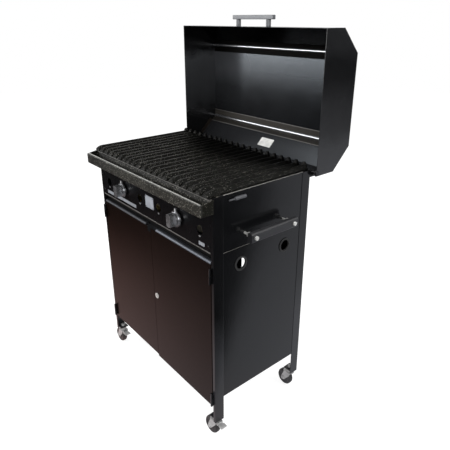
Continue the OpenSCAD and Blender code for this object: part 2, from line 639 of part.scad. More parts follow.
place() knuckles(1);  // knuckles_r
place() lock_body();
place() lock_cam();
place() plug(-1);  // plug_l
place() plug(1);  // plug_r
place() knob(-1);  // knob_l
place() knob(1);  // knob_r
place() fork(-1, -1);  // fork_fl
place() fork(1, -1);  // fork_fr
place() fork(-1, 1);  // fork_rl
place() fork(1, 1);  // fork_rr
place() wheel(-1, -1);  // wheel_fl
place() wheel(1, -1);  // wheel_fr
place() wheel(-1, 1);  // wheel_rl
place() wheel(1, 1);  // wheel_rr
place() pedal(-1);  // pedal_l
place() pedal(1);  // pedal_r
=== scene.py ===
# %% [markdown]
# # A charbroiler grill on a cabinet trolley
# This lesson dresses the imported CAD model of a gas charbroiler: a black cabinet on casters with brown doors,
# cast grates over a speckled grease trough, two gas knobs and a hood that stands open at the back.
# The CAD model stays where it is. Blender gives every piece its finish, most pieces their rounded edges, and the grill
# its small trim.

# %% Load the frame
import bpy, json, math
from mathutils import Matrix, Vector


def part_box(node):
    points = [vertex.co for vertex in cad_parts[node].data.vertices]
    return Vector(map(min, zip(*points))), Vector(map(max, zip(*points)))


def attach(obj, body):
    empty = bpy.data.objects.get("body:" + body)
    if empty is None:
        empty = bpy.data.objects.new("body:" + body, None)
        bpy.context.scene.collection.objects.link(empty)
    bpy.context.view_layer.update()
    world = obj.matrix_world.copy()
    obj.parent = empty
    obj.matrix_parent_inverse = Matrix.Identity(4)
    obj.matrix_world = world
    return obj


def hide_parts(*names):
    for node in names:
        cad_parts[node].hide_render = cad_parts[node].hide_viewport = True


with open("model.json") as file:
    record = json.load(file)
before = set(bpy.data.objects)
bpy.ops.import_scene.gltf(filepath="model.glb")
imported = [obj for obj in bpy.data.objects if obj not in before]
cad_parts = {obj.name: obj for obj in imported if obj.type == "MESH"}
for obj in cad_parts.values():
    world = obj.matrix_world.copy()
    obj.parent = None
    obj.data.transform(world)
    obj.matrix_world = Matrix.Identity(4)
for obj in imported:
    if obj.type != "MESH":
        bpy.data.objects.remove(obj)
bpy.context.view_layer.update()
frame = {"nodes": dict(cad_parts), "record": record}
bpy.ops.object.select_all(action="DESELECT")
MM = 0.001

# %% [markdown]
# ## The camera
# The photograph looks down on the grill from its right front corner. A camera could be moved by eye until it fits,
# but the straight edges of the cabinet and the hood give the direction and the lens exactly, so they are written here
# as numbers. The image is square and the lens is written for a 36 mm wide sensor.

# %% Place the camera
IMAGE, MIDDLE_ROW = 450, 205
FOCAL_PIXELS, SENSOR = 467.5, 36
TURN, TILT, ROLL = math.radians(50.062), math.radians(21.749), math.radians(0.082)
CAMERA_X, CAMERA_Y, CAMERA_Z = 1.3316, -0.9779, 1.395

scene = bpy.context.scene
post_mid = (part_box("post_fl")[0].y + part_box("post_rl")[1].y) / 2
camera_data = bpy.data.cameras.new("photo_camera")
camera = bpy.data.objects.new("photo_camera", camera_data)
scene.collection.objects.link(camera)
camera_data.sensor_width = SENSOR
camera_data.lens = FOCAL_PIXELS * SENSOR / IMAGE
camera_data.shift_y = (MIDDLE_ROW - IMAGE / 2) / IMAGE
camera.location = (CAMERA_X, CAMERA_Y + post_mid, CAMERA_Z)
camera.rotation_euler = (math.pi / 2 - TILT, ROLL, TURN)
scene.camera = camera
scene.view_settings.view_transform = "Standard"
print("camera at", [round(v, 3) for v in camera.location])

# %% [markdown]
# ## The white background
# The grill stands in front of white. A white wall would have to be lit, and that light would fall on the grill too.
# So the world shows white to the camera, in reflections and through clear things, and lights the grill less brightly.

# %% Background
FILL_LIGHT, WHITE = 0.4, (1, 1, 1, 1)


def seen_rays(nodes, links):
    """Two factors: one for rays that show the background, one for glossy rays alone."""
    path = nodes.new("ShaderNodeLightPath")
    first, both = nodes.new("ShaderNodeMath"), nodes.new("ShaderNodeMath")
    first.operation = both.operation = "MAXIMUM"
    links.new(path.outputs["Is Camera Ray"], first.inputs[0])
    links.new(path.outputs["Is Glossy Ray"], first.inputs[1])
    links.new(first.outputs[0], both.inputs[0])
    links.new(path.outputs["Is Transmission Ray"], both.inputs[1])
    return both.outputs[0], path.outputs["Is Glossy Ray"]


world = bpy.data.worlds.new("studio")
scene.world = world
world.use_nodes = True
nodes, links = world.node_tree.nodes, world.node_tree.links
lighting, backdrop = nodes["Background"], nodes.new("ShaderNodeBackground")
for shade, strength in ((lighting, FILL_LIGHT), (backdrop, 1.0)):
    shade.inputs["Color"].default_value = WHITE
    shade.inputs["Strength"].default_value = strength
choose = nodes.new("ShaderNodeMixShader")
links.new(seen_rays(nodes, links)[0], choose.inputs[0])
links.new(lighting.outputs[0], choose.inputs[1])
links.new(backdrop.outputs[0], choose.inputs[2])
links.new(choose.outputs[0], nodes["World Output"].inputs["Surface"])
print("white background, fill light", FILL_LIGHT)

# %% [markdown]
# ## The floor
# A pale floor takes the shadow of the grill. Glossy black sheet shows what it reflects, and a studio floor isn't
# evenly bright. In reflections, and only there, the floor is therefore dark with two pools of light: a warm one at
# the left, which the brown doors show, and a broad cool one behind at the right, which the side shows.

# %% Bright pools for the floor
POOL_REST = 0.03


def light_pool(nodes, links, centre, stretch, inner, outer, colour):
    """An emission that fades from inner to outer, measured from the centre on stretched axes."""
    spot = nodes.new("ShaderNodeTexCoord")
    shift = nodes.new("ShaderNodeMapping")
    shift.inputs["Location"].default_value = [-c * k for c, k in zip(centre, stretch)]
    shift.inputs["Scale"].default_value = stretch
    links.new(spot.outputs["Object"], shift.inputs["Vector"])
    away = nodes.new("ShaderNodeVectorMath")
    away.operation = "LENGTH"
    links.new(shift.outputs["Vector"], away.inputs[0])
    fade = nodes.new("ShaderNodeMapRange")
    fade.interpolation_type = "SMOOTHSTEP"
    for socket, value in (("From Min", inner), ("From Max", outer), ("To Min", 1.0), ("To Max", POOL_REST)):
        fade.inputs[socket].default_value = value
    links.new(away.outputs["Value"], fade.inputs["Value"])
    pool = nodes.new("ShaderNodeEmission")
    pool.inputs["Color"].default_value = (*colour, 1)
    links.new(fade.outputs["Result"], pool.inputs["Strength"])
    return pool.outputs[0]


def joined(nodes, links, kind, *sockets):
    """An Add or Mix shader; a Mix shader takes its factor first."""
    node = nodes.new(kind)
    for place, socket in enumerate(sockets):
        links.new(socket, node.inputs[place])
    return node.outputs[0]


print("floor helpers ready")

# %% [markdown]
# The floor has three faces. The camera sees grey paint with a glow, so that it is nearly white and still takes a
# shadow. Reflections see the pools. Light that bounces from it to the grill sees plain grey.

# %% Floor
FLOOR_RADIUS, FLOOR_Z = 9, -0.0005
FLOOR_GREY, FLOOR_GLOW, FLOOR_BOUNCE = 0.5, 0.8, 0.4


def all_off():
    if bpy.context.object and bpy.context.object.mode != "OBJECT":
        bpy.ops.object.mode_set(mode="OBJECT")
    bpy.ops.object.select_all(action="DESELECT")


all_off()
bpy.ops.mesh.primitive_circle_add(vertices=96, radius=FLOOR_RADIUS, fill_type="NGON", location=(0, 0, FLOOR_Z))
floor = bpy.context.object
floor.name = "floor"
floor_mat = bpy.data.materials.new("pale_floor")
floor_mat.use_nodes = True
nodes, links = floor_mat.node_tree.nodes, floor_mat.node_tree.links
nodes.remove(nodes["Principled BSDF"])
lit, plain = nodes.new("ShaderNodeBsdfDiffuse"), nodes.new("ShaderNodeBsdfDiffuse")
lit.inputs["Color"].default_value = (FLOOR_GREY, FLOOR_GREY, FLOOR_GREY, 1)
plain.inputs["Color"].default_value = (FLOOR_BOUNCE, FLOOR_BOUNCE, FLOOR_BOUNCE, 1)
glow = nodes.new("ShaderNodeEmission")
glow.inputs["Strength"].default_value = FLOOR_GLOW
warm = light_pool(nodes, links, centre=(-0.85, -0.3, 0), stretch=(0.8, 1.7, 1), inner=0.2, outer=1.4,
                  colour=(0.6, 0.3, 0.24))
cool = light_pool(nodes, links, centre=(1.5, 1.6, 0), stretch=(1, 1, 1), inner=1.3, outer=4.0,
                  colour=(0.86, 0.89, 0.96))
seen, glossy = seen_rays(nodes, links)
pools = joined(nodes, links, "ShaderNodeAddShader", warm, cool)
pale = joined(nodes, links, "ShaderNodeAddShader", lit.outputs[0], glow.outputs[0])
pick = joined(nodes, links, "ShaderNodeMixShader", seen, plain.outputs[0], pale)
shown = joined(nodes, links, "ShaderNodeMixShader", glossy, pick, pools)
links.new(shown, nodes["Material Output"].inputs["Surface"])
floor.data.materials.append(floor_mat)
print("floor with two pools")

# %% [markdown]
# ## Four soft lamps
# A point lamp would draw hard shadows and small hot spots. Large rectangles give the soft light of a studio: one at
# the front left, one at the front right, one at the right rear and one overhead, all at a plain level.

# %% Lamps
def soft_lamp(name, place, aim, width, height, watts):
    data = bpy.data.lights.new(name, "AREA")
    data.shape = "RECTANGLE"
    data.size, data.size_y, data.energy = width, height, watts
    lamp = bpy.data.objects.new(name, data)
    scene.collection.objects.link(lamp)
    lamp.location = place
    lamp.rotation_euler = (Vector(aim) - Vector(place)).to_track_quat("-Z", "Y").to_euler()
    return lamp


lamps = [
    soft_lamp("front_left_lamp", place=(-2.2, -2.6, 1.5), aim=(0, 0, 1.1), width=2.0, height=1.1, watts=54),
    soft_lamp("front_right_lamp", place=(2.3, -1.6, 1.4), aim=(-0.2, 0.2, 1.1), width=1.4, height=1.0, watts=36),
    soft_lamp("right_lamp", place=(2.6, 1.4, 2.4), aim=(0, 0, 0.6), width=1.5, height=1.5, watts=30),
    soft_lamp("top_lamp", place=(-0.4, -0.3, 3.2), aim=(0, 0, 0), width=2.0, height=2.0, watts=60),
]
print(len(lamps), "lamps")

# %% [markdown]
# ## Two dark cards
# Photographers hold black card beside glossy things, so that a panel shows a dark reflection with a clear border
# and doesn't turn grey all over. One card lies at the right and one stands behind it. Only reflections see them.

# %% Cards
CARD_BLACK = (0.004, 0.004, 0.004, 1)
card_mat = bpy.data.materials.new("dark_card")
card_mat.use_nodes = True
card_shader = card_mat.node_tree.nodes["Principled BSDF"]
card_shader.inputs["Base Color"].default_value = CARD_BLACK
card_shader.inputs["Specular IOR Level"].default_value = 0.0


def dark_card(name, place, turn, width, depth):
    all_off()
    bpy.ops.mesh.primitive_plane_add(size=1, location=place, rotation=turn)
    card = bpy.context.object
    card.name = name
    card.scale = (width, depth, 1)
    card.data.materials.append(card_mat)
    card.visible_camera = card.visible_diffuse = card.visible_shadow = card.visible_transmission = False


dark_card("lying_card", place=(1.976, 0.35, 0.003), turn=(0, 0, math.radians(50.6)), width=2.9, depth=1.6)
dark_card("standing_card", place=(2.1, 2.6, 1.75), turn=(math.pi / 2, 0, math.radians(-40)), width=3.0, depth=2.0)
print("two cards")

# %% [markdown]
# ## Finishes
# A finish could be one flat colour, but real paint has clouds, wipe marks and fine pits. Every finish here is a node
# material on Object coordinates, so the pattern sits on the piece and moves with it. The small helpers below add a
# noise, a colour ramp and a bump. Each finish is kept by its name.

# %% Small helpers for the finishes
finish = {}


def new_finish(name):
    material = finish[name] = bpy.data.materials.new(name)
    material.use_nodes = True
    nodes, links = material.node_tree.nodes, material.node_tree.links
    coords = nodes.new("ShaderNodeTexCoord")
    return nodes, links, nodes["Principled BSDF"], coords.outputs["Object"]


def noise(nodes, links, at, scale, detail=3.0, stretch=None):
    if stretch:
        turn = nodes.new("ShaderNodeMapping")
        turn.inputs["Scale"].default_value = stretch
        links.new(at, turn.inputs["Vector"])
        at = turn.outputs["Vector"]
    grain = nodes.new("ShaderNodeTexNoise")
    grain.inputs["Scale"].default_value = scale
    grain.inputs["Detail"].default_value = detail
    links.new(at, grain.inputs["Vector"])
    return grain.outputs["Fac"]


def ramp(nodes, links, value, *stops):
    colours = nodes.new("ShaderNodeValToRGB")
    bar = colours.color_ramp
    while len(bar.elements) < len(stops):
        bar.elements.new(0.5)
    for spot, (where, colour) in zip(bar.elements, stops):
        spot.position = where
        spot.color = (*colour, 1)
    links.new(value, colours.inputs["Fac"])
    return colours.outputs["Color"]


def grey(v):
    return (v, v, v)


def times(colour, k):
    return tuple(min(1.0, c * k) for c in colour)


def bump(nodes, links, shader, height, strength, depth):
    node = nodes.new("ShaderNodeBump")
    node.inputs["Strength"].default_value = strength
    node.inputs["Distance"].default_value = depth
    links.new(height, node.inputs["Height"])
    links.new(node.outputs["Normal"], shader.inputs["Normal"])


print("finish helpers ready")

# %% [markdown]
# ### Sprayed sheet
# The cabinet, the doors and the hood are sprayed sheet. Broad clouds vary the colour, finer ones the roughness, and
# a fine noise gives the orange peel of the spray. The gloss is a constant on the shader's own socket.

# %% Sheet paint
def sheet_paint(name, colour, rough, peel=0.12, gloss=0.25, tint=(1, 1, 1), pits=620.0):
    cloud, spread = 0.1, 0.025
    nodes, links, shader, at = new_finish(name)
    shader.inputs["Specular IOR Level"].default_value = gloss
    shader.inputs["Specular Tint"].default_value = (*tint, 1)
    clouds = ramp(nodes, links, noise(nodes, links, at, scale=4.5, detail=4.0),
                  (0.3, times(colour, 1 - cloud)), (0.7, times(colour, 1 + cloud)))
    links.new(clouds, shader.inputs["Base Color"])
    wipes = ramp(nodes, links, noise(nodes, links, at, scale=17.0, detail=5.0),
                 (0.25, grey(rough - spread)), (0.75, grey(rough + spread)))
    links.new(wipes, shader.inputs["Roughness"])
    dimples = noise(nodes, links, at, scale=pits, detail=2.0)
    bump(nodes, links, shader, dimples, strength=peel, depth=0.0004)


print("sheet paint ready")

# %% [markdown]
# ### Speckled enamel
# The trough and the grates are dipped in black enamel with pale flecks. A Voronoi pattern gives one dot in each cell,
# and the random colour of the cell decides how strong its dot is, so the flecks differ as real ones do.

# %% Speckled enamel
def speckled(name, ground, chips, rough, dots=0.3, size=270.0, gloss=0.3):
    nodes, links, shader, at = new_finish(name)
    shader.inputs["Specular IOR Level"].default_value = gloss
    mottled = ramp(nodes, links, noise(nodes, links, at, scale=260.0, detail=4.0),
                   (0.32, times(ground, 0.45)), (0.5, ground), (0.72, times(ground, 1.9)))
    cells = nodes.new("ShaderNodeTexVoronoi")
    cells.inputs["Scale"].default_value = size
    links.new(at, cells.inputs["Vector"])
    spots = ramp(nodes, links, cells.outputs["Distance"], (dots, grey(1.0)), (dots + 0.12, grey(0.0)))
    split = nodes.new("ShaderNodeSeparateColor")
    links.new(cells.outputs["Color"], split.inputs[0])
    some = ramp(nodes, links, split.outputs[0], (0.5, grey(0.0)), (0.7, grey(0.45)), (1.0, grey(1.0)))
    both = nodes.new("ShaderNodeMath")
    both.operation = "MULTIPLY"
    links.new(spots, both.inputs[0])
    links.new(some, both.inputs[1])
    mix = nodes.new("ShaderNodeMix")
    mix.data_type = "RGBA"
    links.new(both.outputs[0], mix.inputs["Factor"])
    links.new(mottled, mix.inputs["A"])
    mix.inputs["B"].default_value = (*chips, 1)
    links.new(mix.outputs["Result"], shader.inputs["Base Color"])
    wipes = ramp(nodes, links, noise(nodes, links, at, scale=40.0, detail=4.0),
                 (0.3, grey(rough - 0.08)), (0.7, grey(rough + 0.1)))
    links.new(wipes, shader.inputs["Roughness"])
    dimples = noise(nodes, links, at, scale=420.0, detail=3.0)
    bump(nodes, links, shader, dimples, strength=0.3, depth=0.0008)


print("speckled enamel ready")

# %% [markdown]
# ### Bare metal and moulded pieces
# Bare metal gets a grain that can be stretched into brush lines. Plated, cast and moulded pieces get a finer, even
# grain, with more or less metal in the shader.

# %% Bare metal and moulded pieces
def bare_metal(name, colour, rough, lines=(1, 1, 1)):
    spread, smoothest = 0.06, 0.03
    nodes, links, shader, at = new_finish(name)
    shader.inputs["Metallic"].default_value = 1.0
    grain = noise(nodes, links, at, scale=220.0, detail=3.0, stretch=lines)
    links.new(ramp(nodes, links, grain, (0.25, times(colour, 0.82)), (0.75, times(colour, 1.1))),
              shader.inputs["Base Color"])
    links.new(ramp(nodes, links, grain, (0.25, grey(max(smoothest, rough - spread))), (0.75, grey(rough + spread))),
              shader.inputs["Roughness"])
    bump(nodes, links, shader, grain, strength=0.05, depth=0.0002)


def moulded(name, colour, rough, metal=0.0):
    nodes, links, shader, at = new_finish(name)
    shader.inputs["Metallic"].default_value = metal
    clouds = noise(nodes, links, at, scale=35.0, detail=4.0)
    links.new(ramp(nodes, links, clouds, (0.3, times(colour, 0.8)), (0.7, times(colour, 1.2))),
              shader.inputs["Base Color"])
    links.new(ramp(nodes, links, clouds, (0.3, grey(rough - 0.05)), (0.7, grey(rough + 0.08))),
              shader.inputs["Roughness"])
    dimples = noise(nodes, links, at, scale=900.0, detail=2.0)
    bump(nodes, links, shader, dimples, strength=0.15, depth=0.0003)


print("metal and moulded finishes ready")

# %% [markdown]
# ### Tones along a piece: painted light and shade
# The colour of a piece isn't the same all over. Most of the toning here is painted light and shade: painted shade
# and a paler painted highlight band on the hood, the painted shade of the hood on the middle of the grates, and
# painted shade inside the trough. Painting that by hand needs an image, so the colour is multiplied by a ramp along a
# direction through the piece, or by a soft spot. A little noise keeps the borders of a ramp uneven.

# %% Helpers for tones: painted light and shade
def ramp_along(nodes, links, axis, span, stops):
    """A grey ramp of (place, value) pairs along a direction through the piece."""
    low, high = span
    reach = high - low
    unevenness, its_mean = 0.06 * reach, 0.03 * reach
    coords = nodes.new("ShaderNodeTexCoord")
    along = nodes.new("ShaderNodeVectorMath")
    along.operation = "DOT_PRODUCT"
    links.new(coords.outputs["Object"], along.inputs[0])
    along.inputs[1].default_value = axis
    wisps = nodes.new("ShaderNodeMath")
    wisps.operation = "MULTIPLY_ADD"
    links.new(noise(nodes, links, coords.outputs["Object"], scale=14.0, detail=5.0), wisps.inputs[0])
    wisps.inputs[1].default_value = unevenness
    links.new(along.outputs["Value"], wisps.inputs[2])
    place = nodes.new("ShaderNodeMapRange")
    place.inputs["From Min"].default_value = low + its_mean
    place.inputs["From Max"].default_value = high + its_mean
    links.new(wisps.outputs[0], place.inputs["Value"])
    return ramp(nodes, links, place.outputs["Result"],
                *[((where - low) / reach, grey(value)) for where, value in stops])


def toned(material, share):
    """Multiplies the colour of a finish by a grey share."""
    nodes, links = material.node_tree.nodes, material.node_tree.links
    shader = nodes["Principled BSDF"]
    mix = nodes.new("ShaderNodeMix")
    mix.data_type, mix.blend_type = "RGBA", "MULTIPLY"
    mix.inputs["Factor"].default_value = 1.0
    links.new(shader.inputs["Base Color"].links[0].from_socket, mix.inputs["A"])
    links.new(share, mix.inputs["B"])
    links.new(mix.outputs["Result"], shader.inputs["Base Color"])


def toned_spot(name, centre, radii, kept, core=0.6):
    """Tones a finish inside an ellipsoid, fully within its core and less towards its border."""
    material = finish[name]
    nodes, links = material.node_tree.nodes, material.node_tree.links
    coords = nodes.new("ShaderNodeTexCoord")
    away, share, length = (nodes.new("ShaderNodeVectorMath") for _ in range(3))
    away.operation, share.operation, length.operation = "SUBTRACT", "DIVIDE", "LENGTH"
    links.new(coords.outputs["Object"], away.inputs[0])
    away.inputs[1].default_value = centre
    links.new(away.outputs["Vector"], share.inputs[0])
    share.inputs[1].default_value = radii
    links.new(share.outputs["Vector"], length.inputs[0])
    toned(material, ramp(nodes, links, length.outputs["Value"], (core, grey(kept)), (1.0, grey(1.0))))


def tone_along(name, axis, span, kept, haze=0.0, shine=None):
    """Tones a finish along an axis; haze adds roughness where the colour is kept, shine scales the highlight."""
    material = finish[name]
    nodes, links = material.node_tree.nodes, material.node_tree.links
    shader = nodes["Principled BSDF"]
    share = ramp_along(nodes, links, axis, span, kept)
    toned(material, share)
    if haze:
        rough = nodes.new("ShaderNodeMath")
        rough.operation = "MULTIPLY_ADD"
        links.new(share, rough.inputs[0])
        rough.inputs[1].default_value = haze
        links.new(shader.inputs["Roughness"].links[0].from_socket, rough.inputs[2])
        links.new(rough.outputs[0], shader.inputs["Roughness"])
    if shine:
        level = nodes.new("ShaderNodeMath")
        level.operation = "MULTIPLY"
        links.new(ramp_along(nodes, links, axis, span, shine), level.inputs[0])
        level.inputs[1].default_value = shader.inputs["Specular IOR Level"].default_value
        links.new(level.outputs[0], shader.inputs["Specular IOR Level"])


print("ageing helpers ready")

# %% [markdown]
# ## The finishes of this grill
# The paints are nearly black, so most of what the eye sees on them is reflection: roughness and gloss matter more
# than colour. The doors reflect warmly, because their brown shows only in the sheen.

# %% Paints and enamels
BLACK_IRON = dict(chips=(0.4, 0.38, 0.34), rough=0.4, dots=0.17, size=330.0, gloss=0.045)
sheet_paint("post_paint", (0.021, 0.0215, 0.024), 0.17)
sheet_paint("panel_paint", (0.0042, 0.0044, 0.005), 0.17)
sheet_paint("door_paint", (0.0055, 0.003, 0.0022), 0.22, gloss=0.08, tint=(1, 0.5, 0.4))
sheet_paint("control_paint", (0.003, 0.0032, 0.0038), 0.26, gloss=0.14)
sheet_paint("firebox_steel", (0.004, 0.004, 0.004), 0.6, gloss=0.06)
sheet_paint("lid_enamel", (0.03, 0.031, 0.034), 0.13, peel=0.6, gloss=0.5, tint=(0.8, 0.9, 1), pits=240.0)
sheet_paint("lid_side_enamel", (0.035, 0.036, 0.039), 0.22, peel=0.4, gloss=0.3)
sheet_paint("strip_enamel", (0.036, 0.033, 0.029), 0.45, gloss=0.1)
sheet_paint("lap_brown", (0.014, 0.011, 0.009), 0.4, gloss=0.15)
speckled("trough_enamel", (0.0125, 0.0122, 0.0098), chips=(0.4, 0.38, 0.33), rough=0.36)
speckled("grate_iron", (0.0044, 0.0044, 0.0036), **BLACK_IRON)
print("paints and enamels:", len(finish))

# %% [markdown]
# Forks and bolts are zinc plated, the hood handle is plated and dull, the rails in the hood are bare steel. Edges
# and caps are steel that shows through the paint. Tyres and rings are rubber, the handles at the sides are plastic.

# %% Metals, plastics and prints
BRUSHED, DRAWN = (1, 12, 12), (1, 30, 30)
bare_metal("burner_steel", (0.45, 0.42, 0.4), 0.45)
bare_metal("tray_steel", (0.5, 0.5, 0.51), 0.4)
bare_metal("pipe_brass", (0.5, 0.38, 0.17), 0.34)
bare_metal("lid_steel", (0.42, 0.43, 0.45), 0.26, DRAWN)
bare_metal("cap_lit", (0.11, 0.118, 0.135), 0.5, BRUSHED)
bare_metal("cap_shaded", (0.05, 0.052, 0.058), 0.5, BRUSHED)
bare_metal("dull_steel", (0.05, 0.05, 0.052), 0.36, BRUSHED)
bare_metal("fold_steel", (0.3, 0.29, 0.27), 0.36, BRUSHED)
moulded("zinc", (0.46, 0.46, 0.46), 0.45, metal=0.3)
moulded("lit_zinc", (0.62, 0.62, 0.6), 0.33, metal=0.35)
moulded("chrome", (0.12, 0.125, 0.135), 0.38, metal=0.15)
moulded("knob_grey", (0.4, 0.405, 0.42), 0.24, metal=0.85)
moulded("peg_grey", (0.06, 0.062, 0.068), 0.42, metal=0.1)
moulded("highlight_grey", (0.1, 0.096, 0.09), 0.4, metal=0.3)
moulded("hem_highlight", (0.3, 0.3, 0.28), 0.25, metal=0.6)
moulded("seam_shade_and_highlight", (0.1, 0.096, 0.085), 0.45)
moulded("wall_bare", (0.26, 0.24, 0.2), 0.5)
moulded("handle_black", (0.014, 0.014, 0.016), 0.4)
moulded("rubber", (0.007, 0.007, 0.007), 0.65)
moulded("tyre", (0.008, 0.008, 0.0085), 0.5)
moulded("pointer_white", (0.62, 0.62, 0.62), 0.45)
moulded("pale_print", (0.3, 0.315, 0.345), 0.5)
moulded("faint_print", (0.2, 0.2, 0.205), 0.5)
moulded("plate_face", (0.36, 0.38, 0.42), 0.4)
moulded("hood_print", (0.74, 0.74, 0.72), 0.5)
print("finishes:", len(finish))

# %% [markdown]
# ### Where the finishes are toned
# The pairs are a place in metres and the share of the colour that is left there. The posts are greyer near the floor
# and the trough is darker at its left. Painted shade darkens the inside of the trough behind its hem and the middle of
# the grates, where the hood shades them, and the seam strips are painted dark as shade in the seams.

# %% Tones of the cabinet, painted shade in the trough and on the grates
UP, ACROSS, BACK = (0, 0, 1), (1, 0, 0), (0, 1, 0)
HOOD_HEIGHTS, WIDTH = (0.85, 1.4), (-0.4, 0.4)
tone_along("post_paint", UP, (0.0, 1.0), [(0.16, 0.85), (0.34, 1.0), (0.52, 0.2)])
# Painted shade along the seam strips: nearly black towards the back, lighter at the front as a painted highlight.
tone_along("seam_shade_and_highlight", BACK, (-0.3, 0.2), [(-0.16, 1.0), (-0.06, 0.06)])
# Painted shade inside the trough behind its hem: a darker colour and a weaker highlight there.
tone_along("trough_enamel", BACK, (-0.34, -0.24), [(-0.322, 1.0), (-0.317, 0.75)],
           shine=[(-0.322, 1.0), (-0.317, 0.15)])
tone_along("trough_enamel", ACROSS, WIDTH, [(-0.36, 0.45), (-0.12, 1.0)])
# Painted shade of the hood over the middle of the grates: the colour keeps 12 percent of its strength there.
toned_spot("grate_iron", centre=(0.06, 0.16, 0.93), radii=(0.42, 0.24, 1), kept=0.12)
print("cabinet, trough and grates aged")

# %% [markdown]
# The two side plates of the hood are one CAD piece with one finish, and their colour along the height is painted
# light and shade. A slanted direction meets the left plate first and the right plate after it, so a single ramp can
# hold the heights of both. The back plate is painted the same way: darker over its lower part, paler in a band under
# the upper bend where its highlight lies, and nearly black on the top inside, which faces down into shade; the
# highlight strength is shaped along the height too. The strips across the bends are painted shade: darker at their
# foot and nearly black higher up, across the upper bend. A paler spot of painted light lies at the left of the back
# plate.

# %% Painted light and shade on the hood
SLANT, SLANT_SPAN, SIDE_REACH = (1.2, 0, 1), (0.4, 1.9), 0.449
left_plate = [(0.965, 0.1), (1.0, 0.15), (1.04, 0.5), (1.12, 0.75), (1.24, 1.0), (1.275, 0.06), (1.379, 0.06)]
right_plate = [(0.988, 0.6), (1.038, 0.36), (1.138, 0.45), (1.218, 0.2), (1.268, 0.2), (1.318, 0.42)]
both_plates = [(height - SIDE_REACH, share) for height, share in left_plate]
both_plates += [(height + SIDE_REACH, share) for height, share in right_plate]
# Painted light and shade on the two side plates.
tone_along("lid_side_enamel", SLANT, SLANT_SPAN, both_plates)
# Painted shade and a painted highlight band along the back plate, and nearly black painted shade on the top inside.
tone_along("lid_enamel", UP, HOOD_HEIGHTS,
           [(0.965, 0.45), (0.985, 0.22), (1.12, 0.2), (1.2, 0.5), (1.26, 0.5), (1.31, 0.01)], haze=0.16,
           shine=[(0.96, 0.5), (1.03, 0.7), (1.15, 1.0), (1.27, 1.0), (1.3, 0.3)])
# A paler spot of painted light on the back plate.
toned_spot("lid_enamel", centre=(-0.34, 0.3, 1.17), radii=(0.21, 1.0, 0.2), kept=3.8, core=0.1)
# Painted shade on the strips: nearly black across the upper bend, with a weaker highlight there.
tone_along("strip_enamel", UP, HOOD_HEIGHTS, [(0.968, 0.4), (0.98, 1.0), (1.05, 1.0), (1.15, 0.08)],
           shine=[(1.05, 1.0), (1.15, 0.15)])
print("hood aged")

# %% [markdown]
# ### A finish for every piece
# The record names a material slot for each CAD piece, and the finish has the name of the slot. A few pieces look
# different from the rest of their slot: bolts and the lock take a paler zinc than the forks as painted light, for the
# strong light on them, and hinge knuckles are worn to the steel.

# %% Give the finishes to the CAD pieces
slot_of = {s["node"]: s["material_slot"] for s in frame["record"]["subparts"]}
body_of = {n: b for b, ns in frame["record"]["behaviour"]["bodies"].items() for n in ns}
# Bolts and the lock take a paler zinc than the forks, as painted light.
look_of = {**slot_of, "lid_pins": "post_paint", "handle_bolts": "lit_zinc", "lock_body": "lit_zinc",
           "lid_sides": "lid_side_enamel", "side_peg": "peg_grey", "knuckles_l": "dull_steel",
           "knuckles_r": "dull_steel", "firebox_front": "wall_bare", "pedal_l": "zinc", "pedal_r": "zinc"}
for node, piece in frame["nodes"].items():
    piece.data.materials.clear()
    piece.data.materials.append(finish[look_of[node]])
print("dressed", len(frame["nodes"]), "CAD pieces")

# %% [markdown]
# ## Rounded edges
# Folded sheet and castings have no razor edges: a small round catches the light and draws a bright line. A bevel
# shader would fake that without changing the shape, but the mesh itself should have it. So a copy of the CAD mesh of
# each piece in the list below is welded, cleaned of flat triangles and given a bevel that is applied, and the copy
# stands for the CAD piece.

# %% Helper for rounded edges
WELD, FLAT = 0.00001, math.radians(0.4)
SHARP, SMOOTH, EDGE_STEPS = math.radians(32), math.radians(38), 2


def put_on(piece, body):
    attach(piece, body)
    return piece


def activate(piece):
    all_off()
    piece.select_set(True)
    bpy.context.view_layer.objects.active = piece


def rounded(node, width):
    mesh = frame["nodes"][node].data.copy()
    piece = bpy.data.objects.new(node + "_finished", mesh)
    scene.collection.objects.link(piece)
    activate(piece)
    bpy.ops.mesh.customdata_custom_splitnormals_clear()
    bpy.ops.object.mode_set(mode="EDIT")
    bpy.ops.mesh.select_all(action="SELECT")
    bpy.ops.mesh.remove_doubles(threshold=WELD)
    bpy.ops.mesh.dissolve_limited(angle_limit=FLAT)
    bpy.ops.object.mode_set(mode="OBJECT")
    edge = piece.modifiers.new("edge", "BEVEL")
    edge.width, edge.segments = width * MM, EDGE_STEPS
    edge.limit_method, edge.angle_limit = "ANGLE", SHARP
    bpy.ops.object.modifier_apply(modifier="edge")
    bpy.ops.object.shade_smooth_by_angle(angle=SMOOTH)
    flats = piece.modifiers.new("flats", "WEIGHTED_NORMAL")
    flats.keep_sharp = True
    bpy.ops.object.modifier_apply(modifier="flats")
    put_on(piece, body_of[node])
    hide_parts(node)
    return piece


print("edge helper ready")

# %% [markdown]
# The width of the round follows the piece: a thin folded sheet has a fine one, a thicker fold or a pressed piece a
# wider one, and a casting, a handle or a tyre a broad one. The numbers are millimetres.

